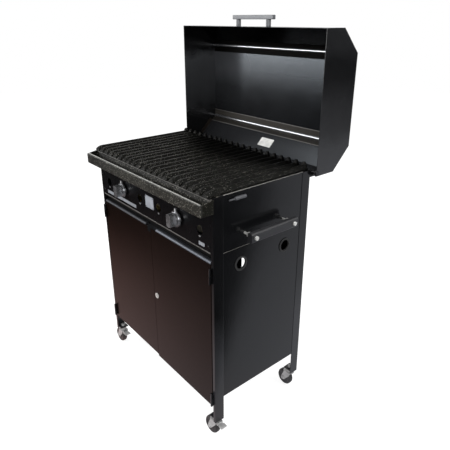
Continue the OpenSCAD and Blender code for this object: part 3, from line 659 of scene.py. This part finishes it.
# %% Round the edges of the CAD pieces
ROUND = {0.45: ["side_upper_l", "side_upper_r", "side_lower_l", "side_lower_r", "rear_upper", "rear_lower",
                "door_l", "door_r", "lid_wrap", "lid_sides", "lid_strips", "drip_tray",
                "firebox_front", "ledge_rear", "shelf", "radiants"],
         0.8: ["post_fl", "post_fr", "post_rl", "post_rr", "feet", "hinge_leaves", "knuckles_l", "knuckles_r",
               "lock_body", "lock_cam", "side_peg", "lid_pins", "lid_brackets", "fork_fl", "fork_fr", "fork_rl",
               "fork_rr", "handle_bolts", "trough"],
         1.3: ["knob_l", "knob_r", "pedal_l", "pedal_r", "grate_l", "grate_c", "grate_r", "lid_posts", "grommets"],
         2.0: ["side_handle_l", "side_handle_r", "wheel_fl", "wheel_fr", "wheel_rl", "wheel_rr", "lid_handle"]}
made = [rounded(node, width) for width, names in ROUND.items() for node in names]
print("rounded", len(made), "pieces,", sum(len(piece.data.polygons) for piece in made), "faces")

# %% [markdown]
# ## Flat trim
# Plates and printed strips are thin sheets with rounded corners and a pressed rim. A box would have dead square
# corners, so each starts as a plane: its corners are bevelled, the face is extruded to the thickness and inset twice,
# so that a rim stands round a sunk middle. What repeats is modelled once and copied, each copy with its own mesh.

# %% Helpers for flat trim
CORNER_STEPS = 4


def set_down(piece, place, turn):
    activate(piece)
    piece.location, piece.rotation_euler = place, turn
    bpy.ops.object.transform_apply(location=True, rotation=True, scale=True)


def flat_plate(name, width, height, thick, corner, rim, sink):
    all_off()
    bpy.ops.mesh.primitive_plane_add(size=1)
    plate = bpy.context.object
    plate.name = name
    plate.scale = (width * MM, height * MM, 1)
    bpy.ops.object.transform_apply(location=False, rotation=False, scale=True)
    bpy.ops.object.mode_set(mode="EDIT")
    bpy.ops.mesh.select_all(action="SELECT")
    bpy.ops.mesh.bevel(affect="VERTICES", offset=corner * MM, segments=CORNER_STEPS)
    bpy.ops.mesh.select_all(action="SELECT")
    bpy.ops.mesh.extrude_region_move(TRANSFORM_OT_translate={"value": (0, 0, thick * MM)})
    bpy.ops.mesh.inset(thickness=rim * MM, depth=0)
    bpy.ops.mesh.inset(thickness=sink * MM, depth=-sink * MM)
    bpy.ops.mesh.select_all(action="SELECT")
    bpy.ops.mesh.normals_make_consistent(inside=False)
    bpy.ops.object.mode_set(mode="OBJECT")
    return plate


def wear(piece, name, material, body):
    piece.name = name
    piece.data.materials.clear()
    piece.data.materials.append(finish[material])
    return put_on(piece, body)


def copy_of(piece):
    twin = bpy.data.objects.new(piece.name + "_copy", piece.data.copy())
    scene.collection.objects.link(twin)
    return twin


def repeats(piece, count):
    """Copies of a modelled piece, and the piece itself as the last one."""
    return [copy_of(piece) for _ in range(count - 1)] + [piece]


print("flat trim helpers ready")

# %% [markdown]
# ## Plate and strips on the control panel
# The panel carries a small plate between the two middle lighting holes, a long pale strip at the left and a short one
# at the right. They are laid on the front of the panel, and their places are measured from the row of holes.

# %% Plate and strips
UPRIGHT, UNTURNED = (math.pi / 2, 0, 0), (0, 0, 0)
KNOB_RADIUS = 27 * MM
STRIP = dict(height=12, thick=0.5, corner=1.5, rim=0.8, sink=0.15)
PLATE_X, PLATE_RISE, PLATE_THICK = 5, 3, 0.9
panel_lo, panel_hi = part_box("control_panel")
PANEL_Y = panel_lo.y
HOLE_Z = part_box("knob_l")[0].z + KNOB_RADIUS

data_plate = flat_plate("data_plate", width=52, height=44, thick=PLATE_THICK, corner=3, rim=1.6, sink=0.3)
set_down(data_plate, (PLATE_X * MM, PANEL_Y, HOLE_Z + PLATE_RISE * MM), UPRIGHT)
wear(data_plate, "data_plate", "plate_face", "frame")
for name, width, strip_x, drop in (("long_strip", 221, -202.5, 43), ("short_strip", 29, 302, 44)):
    strip = flat_plate(name, width=width, **STRIP)
    set_down(strip, (strip_x * MM, PANEL_Y, HOLE_Z - drop * MM), UPRIGHT)
    wear(strip, name, "pale_print", "frame")
print("plate and 2 strips, panel front at", round(PANEL_Y, 4), "holes at height", round(HOLE_Z, 4))

# %% [markdown]
# ## Marks and pointers
# A small pale mark sits under each lighting hole, and each knob has a white line on its pointer tab. Both are tiny
# plates like the strips. The pointers ride on the knobs, so they turn and push in with them.

# %% Marks and pointers
HOLES = [k * MM for k in (-293, -61, 61, 293)]
MARK_DROP, POINTER_DROP = 21 * MM, 6 * MM
TAB_FRONT = 10.5 * MM
mark = flat_plate("hole_mark", width=9, height=5, thick=0.4, corner=2.3, rim=0.5, sink=0.1)
for number, (one, hole_x) in enumerate(zip(repeats(mark, len(HOLES)), HOLES), 1):
    set_down(one, (hole_x, PANEL_Y, HOLE_Z - MARK_DROP), UPRIGHT)
    wear(one, f"hole_mark_{number}", "faint_print", "frame")
pointer = flat_plate("pointer", width=5, height=9, thick=0.5, corner=1.2, rim=0.5, sink=0.15)
for one, (letter, side) in zip(repeats(pointer, 2), (("l", "left"), ("r", "right"))):
    knob_lo, knob_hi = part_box("knob_" + letter)
    set_down(one, ((knob_lo.x + knob_hi.x) / 2, PANEL_Y - TAB_FRONT, knob_hi.z - POINTER_DROP), UPRIGHT)
    wear(one, "pointer_" + letter, "pointer_white", "knob_" + side)
print("4 marks, 2 pointers")

# %% [markdown]
# ## Screws and rivets
# A screw at each end holds the panel, and four rivets hold the plate. A screw head starts as a short cylinder: its
# top is inset and raised, then inset again and pushed in for the socket. A rivet is the same cylinder with its top
# drawn up and in, so that it becomes a low dome. The sizes follow the radius, so one helper makes both.

# %% Helper for screw heads and rivets
BUTTON_SIDES, BUTTON_SMOOTH = 24, math.radians(40)
NEARLY = 1e-6
DOME_STEPS = ((0.86, 0.28), (0.6, 0.2))
SOCKET_STEPS = ((0.22, 0.14), (0.3, 0), (0.04, -0.3))


def top_face(piece):
    """Goes into edit mode with only the faces at the top selected."""
    bpy.ops.object.mode_set(mode="OBJECT")
    high = max(v.co.z for v in piece.data.vertices)
    for part in (piece.data.vertices, piece.data.edges, piece.data.polygons):
        part.foreach_set("select", [False] * len(part))
    for face in piece.data.polygons:
        face.select = all(abs(piece.data.vertices[v].co.z - high) < NEARLY for v in face.vertices)
    bpy.ops.object.mode_set(mode="EDIT")
    bpy.ops.mesh.select_mode(type="FACE")


def button(name, radius, height, dome):
    all_off()
    bpy.ops.mesh.primitive_cylinder_add(vertices=BUTTON_SIDES, radius=radius * MM, depth=height * MM,
                                        location=(0, 0, height * MM / 2))
    piece = bpy.context.object
    piece.name = name
    bpy.ops.object.transform_apply(location=True, rotation=False, scale=False)
    top_face(piece)
    if dome:
        for grow, rise in DOME_STEPS:
            bpy.ops.mesh.extrude_region_move(TRANSFORM_OT_translate={"value": (0, 0, rise * radius * MM)})
            bpy.ops.transform.resize(value=(grow, grow, 1))
    else:
        for wide, rise in SOCKET_STEPS:
            bpy.ops.mesh.inset(thickness=wide * radius * MM, depth=rise * radius * MM)
    bpy.ops.object.mode_set(mode="OBJECT")
    bpy.ops.object.shade_smooth_by_angle(angle=BUTTON_SMOOTH)
    return piece


print("button helper ready")

# %% [markdown]
# The screws sit near the ends of the panel below the row of holes, and the rivets sit in the corners of the plate, on
# its face.

# %% Screw heads and rivets
SCREW_X, SCREW_DROP = (-338, 338), 41
RIVET_X, RIVET_Z = 22, 18
screw = button("panel_screw", radius=3.6, height=1.4, dome=False)
for number, (one, screw_x) in enumerate(zip(repeats(screw, len(SCREW_X)), SCREW_X), 1):
    set_down(one, (screw_x * MM, PANEL_Y, HOLE_Z - SCREW_DROP * MM), UPRIGHT)
    wear(one, f"panel_screw_{number}", "dull_steel", "frame")
rivet = button("plate_rivet", radius=1.5, height=0.5, dome=True)
corners = [(PLATE_X + sx * RIVET_X, PLATE_RISE + sz * RIVET_Z) for sx in (-1, 1) for sz in (-1, 1)]
for number, (one, (rivet_x, rivet_z)) in enumerate(zip(repeats(rivet, len(corners)), corners), 1):
    set_down(one, (rivet_x * MM, PANEL_Y - PLATE_THICK * MM, HOLE_Z + rivet_z * MM), UPRIGHT)
    wear(one, f"plate_rivet_{number}", "dull_steel", "frame")
print("2 screws, 4 rivets")

# %% [markdown]
# ## Lines along the edges
# Bright and dark lines run along folds, edges and seams. Most are painted: a bright one is a painted highlight where a
# rounded edge catches the light, a dark one is painted shade in a gap, and the top edges of the side panels are bare
# cut edges. A line painted on the surface would have no height, so each is a slim bar, and the one edge of it that
# faces the light is bevelled round.

# %% Helper for bars along the edges
X_AXIS, Y_AXIS = 0, 1
FRONT, TOP, LEFT, RIGHT = (0, -1, 0), (0, 0, 1), (-1, 0, 0), (1, 0, 0)
BAR_STEPS, BAR_SMOOTH, PARALLEL = 5, math.radians(40), 0.99


def edge_bar(name, lo, hi, axis, sides, radius):
    """A bar between two corners, with the edge between its two given sides rounded."""
    all_off()
    middle, span = (Vector(lo) + Vector(hi)) / 2, Vector(hi) - Vector(lo)
    bpy.ops.mesh.primitive_cube_add(size=1)
    bar = bpy.context.object
    bar.scale = span
    bpy.ops.object.transform_apply(location=False, rotation=False, scale=True)
    bpy.ops.object.mode_set(mode="EDIT")
    bpy.ops.mesh.select_mode(type="EDGE")
    bpy.ops.mesh.select_all(action="DESELECT")
    bpy.ops.object.mode_set(mode="OBJECT")
    for edge in bar.data.edges:
        a, b = (bar.data.vertices[v].co for v in edge.vertices)
        along = abs((b - a).normalized()[axis]) > PARALLEL
        spot = (a + b) / 2
        edge.select = along and all(spot.dot(Vector(n)) > abs(span.dot(Vector(n))) / 2 - NEARLY for n in sides)
    bpy.ops.object.mode_set(mode="EDIT")
    bpy.ops.mesh.bevel(offset=radius * MM, segments=BAR_STEPS, affect="EDGES")
    bpy.ops.object.mode_set(mode="OBJECT")
    bpy.ops.object.shade_smooth_by_angle(angle=BAR_SMOOTH)
    bar.name = name
    set_down(bar, middle, UNTURNED)
    return bar


print("bar helper ready")

# %% [markdown]
# The lower fold of the control panel shows a grey line, a painted highlight on the bend. Each door has a rounded cap
# on its top edge, which starts a little way from the middle of the cabinet. The right cap is brighter than the left
# one as
# painted light: the right one takes a lit finish and the left one a shaded finish. The caps ride on the doors.

# %% Painted highlight on the fold, and door caps
FOLD_END, FOLD_OUT, FOLD_LOW, FOLD_HIGH = 12 * MM, 1.2 * MM, 3.6 * MM, 7.1 * MM
CAP_START, CAP_END, CAP_HIGH = 33 * MM, 1 * MM, 9 * MM
CAP_FRONT, CAP_BACK = 0.2 * MM, 0.5 * MM
fold = edge_bar("panel_fold_line", (panel_lo.x + FOLD_END, PANEL_Y - FOLD_OUT, panel_lo.z + FOLD_LOW),
                (panel_hi.x - FOLD_END, PANEL_Y, panel_lo.z + FOLD_HIGH), X_AXIS, (FRONT, TOP), radius=1.1)
wear(fold, "panel_fold_line", "highlight_grey", "frame")
# The right cap takes the lit finish and the left one the shaded finish, as painted light.
for letter, body, material in (("l", "door_left", "cap_shaded"), ("r", "door_right", "cap_lit")):
    door_lo, door_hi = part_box("door_" + letter)
    inner, outer = sorted((door_lo.x, door_hi.x), key=abs)
    ends = sorted((inner + math.copysign(CAP_START, outer), outer - math.copysign(CAP_END, outer)))
    cap = edge_bar("door_cap_" + letter, (ends[0], door_lo.y + CAP_FRONT, door_hi.z),
                   (ends[1], door_hi.y - CAP_BACK, door_hi.z + CAP_HIGH), X_AXIS, (FRONT, TOP), radius=8)
    wear(cap, "door_cap_" + letter, material, body)
print("fold line, 2 door caps")

# %% [markdown]
# The top edge of each side panel is a bright cut edge. Lower down, where the upper side panel meets the lower one, a
# slim strip in the seam is painted shade for the shadow in the gap, with its front end lighter as a painted highlight.

# %% Side lines and painted seam shadows
LINE_OUT, LINE_HIGH = 1.1 * MM, 1.6 * MM
BEAD_LOW, BEAD_HIGH, BEAD_INSET = 0.4 * MM, 1.4 * MM, 0.4
for letter, sign, face in (("l", -1, LEFT), ("r", 1, RIGHT)):
    side_lo, side_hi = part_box("side_upper_" + letter)
    near, far = sorted((abs(side_lo.x), abs(side_hi.x)))
    inner, outer = sign * near, sign * (far + LINE_OUT)
    x0, x1 = sorted((inner, outer))
    line = edge_bar("side_top_line_" + letter, (x0, side_lo.y, side_hi.z), (x1, side_hi.y, side_hi.z + LINE_HIGH),
                    Y_AXIS, (face, TOP), radius=1.0)
    wear(line, "side_top_line_" + letter, "fold_steel", "frame")
    x0, x1 = sorted((inner, outer + (inner - outer) * BEAD_INSET))
    bead = edge_bar("seam_shadow_" + letter, (x0, side_lo.y, side_lo.z - BEAD_LOW),
                    (x1, side_hi.y, side_lo.z + BEAD_HIGH), Y_AXIS, (face, TOP), radius=0.5)
    wear(bead, "seam_shadow_" + letter, "seam_shade_and_highlight", "frame")
print("2 side lines, 2 seam beads")

# %% [markdown]
# The front hem of the trough shows a bright line on top, and the rear edge a duller one just under the noses of the
# grates. Both are painted highlights, where the rounded enamel edges catch the light.

# %% Painted highlights along the trough
TROUGH_END, HEM_DROP = 4 * MM, 6 * MM
HEM_FRONT, HEM_BACK, HEM_SINK, HEM_RISE = 1.2 * MM, 5.8 * MM, 0.5 * MM, 0.6 * MM
REAR_FRONT, REAR_BACK, REAR_LOW, REAR_HIGH = 6.8 * MM, 4.5 * MM, 4.8 * MM, 3 * MM
trough_lo, trough_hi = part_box("trough")
hem_top = trough_hi.z - HEM_DROP
hem_line = edge_bar("trough_hem_line", (trough_lo.x + TROUGH_END, trough_lo.y + HEM_FRONT, hem_top - HEM_SINK),
                    (trough_hi.x - TROUGH_END, trough_lo.y + HEM_BACK, hem_top + HEM_RISE),
                    X_AXIS, (FRONT, TOP), radius=0.5)
wear(hem_line, "trough_hem_line", "hem_highlight", "frame")
rear_line = edge_bar("trough_rear_line",
                     (trough_lo.x + TROUGH_END, trough_hi.y - REAR_FRONT, trough_hi.z - REAR_LOW),
                     (trough_hi.x - TROUGH_END, trough_hi.y - REAR_BACK, trough_hi.z - REAR_HIGH),
                     X_AXIS, (FRONT, TOP), radius=0.9)
wear(rear_line, "trough_rear_line", "highlight_grey", "frame")
print("2 trough lines, hem at height", round(hem_top, 4))

# %% [markdown]
# ## The plate inside the hood
# A pale plate is fixed to the lower slope inside the hood. It is made like the plate on the panel, turned 45 degrees
# with the slope, set down on the inner face of the sheet, and rides on the hood.

# %% Plate on the lower slope of the hood
SLOPE, SHEET, SLOPE_TURN = 79 * MM, 1.5 * MM, (math.radians(45), 0, 0)
HOOD_PLATE_AT, DIAGONAL = Vector((12 * MM, 29 * MM, 29 * MM)), 0.7071
hood_lo, hood_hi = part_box("lid_wrap")
slope_foot = Vector((0, hood_hi.y - SLOPE, hood_lo.z)) + Vector((0, -1, 1)) * SHEET * DIAGONAL
hood_plate = flat_plate("hood_plate", width=70, height=38, thick=0.6, corner=2, rim=1.2, sink=0.2)
set_down(hood_plate, slope_foot + HOOD_PLATE_AT, SLOPE_TURN)
wear(hood_plate, "hood_plate", "hood_print", "lid")
print("hood plate, slope starts at", [round(v, 3) for v in slope_foot])

# %% [markdown]
# ## Edges of the lower hood strip
# The strip across the lower bend of the hood shows its edges as two fine grey lines, one on the back plate and one on
# the slope. Both are painted highlights on the edges. Each is a slim bar with a rounded edge; the lower one is turned
# with the slope. Both ride on the hood.

# %% Lines along the strip
STRIP_END, STRIP_RISE = 1 * MM, 48 * MM
UPPER_DEPTH, UPPER_BACK, UPPER_SINK, UPPER_HIGH = 2.8 * MM, 0.2 * MM, 0.3 * MM, 2 * MM
LOWER_HALF_DEPTH, LOWER_HALF_HIGH = 1.3 * MM, 0.9 * MM
LOWER_OUT, LOWER_LIFT = 0.4 * MM, 0.2 * MM
strip_lo, strip_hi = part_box("lid_strips")
strip_top = strip_lo.z + STRIP_RISE
upper_line = edge_bar("strip_line_1", (strip_lo.x + STRIP_END, strip_hi.y - UPPER_DEPTH, strip_top - UPPER_SINK),
                      (strip_hi.x - STRIP_END, strip_hi.y - UPPER_BACK, strip_top + UPPER_HIGH),
                      X_AXIS, (FRONT, TOP), radius=1.3)
wear(upper_line, "strip_line_1", "highlight_grey", "lid")
corner = Vector(((strip_hi.x - strip_lo.x) / 2 - STRIP_END, LOWER_HALF_DEPTH, LOWER_HALF_HIGH))
lower_line = edge_bar("strip_line_2", -corner, corner, X_AXIS, (FRONT, TOP), radius=0.9)
set_down(lower_line, (0, strip_lo.y - LOWER_OUT, strip_lo.z + LOWER_LIFT), SLOPE_TURN)
wear(lower_line, "strip_line_2", "highlight_grey", "lid")
print("2 lines along the lower strip")

# %% [markdown]
# ## Laps at the ends of the lower slope
# At each end the lower slope is lapped onto the side plate of the hood. A lap is a narrow plate made like the others,
# turned so that it stands on the slope and lies flat against the side plate, and it rides on the hood.

# %% Laps of the hood
LAP_SHIFT, LAP_LIFT = 8 * MM, 10 * MM
slope_middle = Vector((0, hood_hi.y - SLOPE / 2 - LAP_SHIFT, hood_lo.z + SLOPE / 2 - LAP_SHIFT))
inward = Vector((0, -1, 1)).normalized()
lap = flat_plate("slope_lap", width=78, height=17, thick=1.0, corner=2, rim=1, sink=0.2)
for one, (letter, sign, edge_x) in zip(repeats(lap, 2), (("l", 1, hood_lo.x), ("r", -1, hood_hi.x))):
    along = Vector((0, sign, sign)).normalized()
    turned = Matrix((along, inward, (sign, 0, 0))).transposed().to_euler()
    set_down(one, Vector((edge_x, 0, 0)) + slope_middle + inward * LAP_LIFT, turned)
    wear(one, "slope_lap_" + letter, "lap_brown", "lid")
print("2 laps")

# %% [markdown]
# ## Tips at the rear of the grates
# The cast bars end in blunt tips that stand up at the rear and show as teeth against the hood. A tip starts as a cube:
# its top is drawn in and pushed back, and every edge is rounded as on a casting. It is copied to the end of each bar.

# %% Cast tips
TIP_SIZE, TIP_TOP, TIP_BACK = (22 * MM, 14 * MM, 18 * MM), (0.42, 0.5, 1), (0, 2 * MM, 0)
TIP_ROUND, TIP_SMOOTH = 1.6 * MM, math.radians(50)
TIP_INSET, TIP_LIFT = 9 * MM, 1 * MM
GRATES, BARS, BAR_WIDTH = ("grate_l", "grate_c", "grate_r"), 7, 25 * MM


def cast_tip(name):
    all_off()
    bpy.ops.mesh.primitive_cube_add(size=1)
    tip = bpy.context.object
    tip.name = name
    tip.scale = TIP_SIZE
    bpy.ops.object.transform_apply(location=False, rotation=False, scale=True)
    top_face(tip)
    bpy.ops.transform.resize(value=TIP_TOP)
    bpy.ops.transform.translate(value=TIP_BACK)
    bpy.ops.mesh.select_all(action="SELECT")
    bpy.ops.mesh.bevel(offset=TIP_ROUND, segments=2, affect="EDGES")
    bpy.ops.object.mode_set(mode="OBJECT")
    bpy.ops.object.shade_smooth_by_angle(angle=TIP_SMOOTH)
    return tip


bar_ends = []
for grate in GRATES:
    grate_lo, grate_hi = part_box(grate)
    pitch = (grate_hi.x - grate_lo.x - BAR_WIDTH) / (BARS - 1)
    bar_ends += [(grate_lo.x + BAR_WIDTH / 2 + bar * pitch, grate_hi.y - TIP_INSET, grate_hi.z + TIP_LIFT)
                 for bar in range(BARS)]
tip = cast_tip("grate_tip")
for number, place in enumerate(bar_ends, 1):
    one = copy_of(tip)
    set_down(one, place, UNTURNED)
    wear(one, f"grate_tip_{number:02d}", "grate_iron", "frame")
bpy.data.objects.remove(tip)
print(len(bar_ends), "tips")

# %% Finish
all_off()
